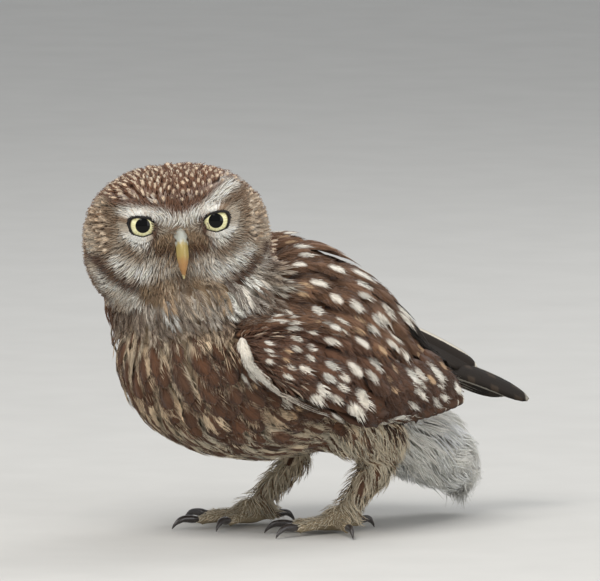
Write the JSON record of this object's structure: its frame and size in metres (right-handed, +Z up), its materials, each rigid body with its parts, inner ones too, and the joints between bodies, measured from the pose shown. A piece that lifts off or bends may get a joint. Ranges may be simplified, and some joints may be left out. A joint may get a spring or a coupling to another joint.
{
  "type": "little owl",
  "caption": "Life-size little owl standing low on a flat floor, leaning forward with its folded wings along its sides and its face turned to its left.",
  "frame": {"origin": "on the floor, under the middle of the whole bird", "axes": "+Z up, +Y from the breast to the tail, +X to the bird's left side"},
  "size_m": [0.1012, 0.2006, 0.144],
  "materials": {
    "plumage_pale": "cream feathers with brown streaks",
    "plumage_brown": "warm brown feathers with white spots",
    "plumage_white": "soft white down",
    "flight_feathers": "smooth dark brown vanes with pale bars",
    "eye": "wet and glossy",
    "bill": "satin horn",
    "toe": "dry skin with bristles",
    "claw": "satin horn"
  },
  "bodies": {
    "root": {"head": "plumage_pale", "neck": "plumage_pale", "trunk": "plumage_pale", "undertail_coverts": "plumage_white", "tail": "flight_feathers", "bill_upper": "bill", "bill_lower": "bill", "eye_left": "eye", "wing_left": "plumage_brown", "primaries_left": "flight_feathers", "thigh_left": "plumage_pale", "tarsus_left": "plumage_pale", "foot_left": "toe", "toe_left_inner": "toe", "claw_left_inner": "claw", "toe_left_middle": "toe", "claw_left_middle": "claw", "toe_left_outer": "toe", "claw_left_outer": "claw", "toe_left_hind": "toe", "claw_left_hind": "claw", "eye_right": "eye", "wing_right": "plumage_brown", "primaries_right": "flight_feathers", "thigh_right": "plumage_pale", "tarsus_right": "plumage_pale", "foot_right": "toe", "toe_right_inner": "toe", "claw_right_inner": "claw", "toe_right_middle": "toe", "claw_right_middle": "claw", "toe_right_outer": "toe", "claw_right_outer": "claw", "toe_right_hind": "toe", "claw_right_hind": "claw"}
  },
  "joints": []
}
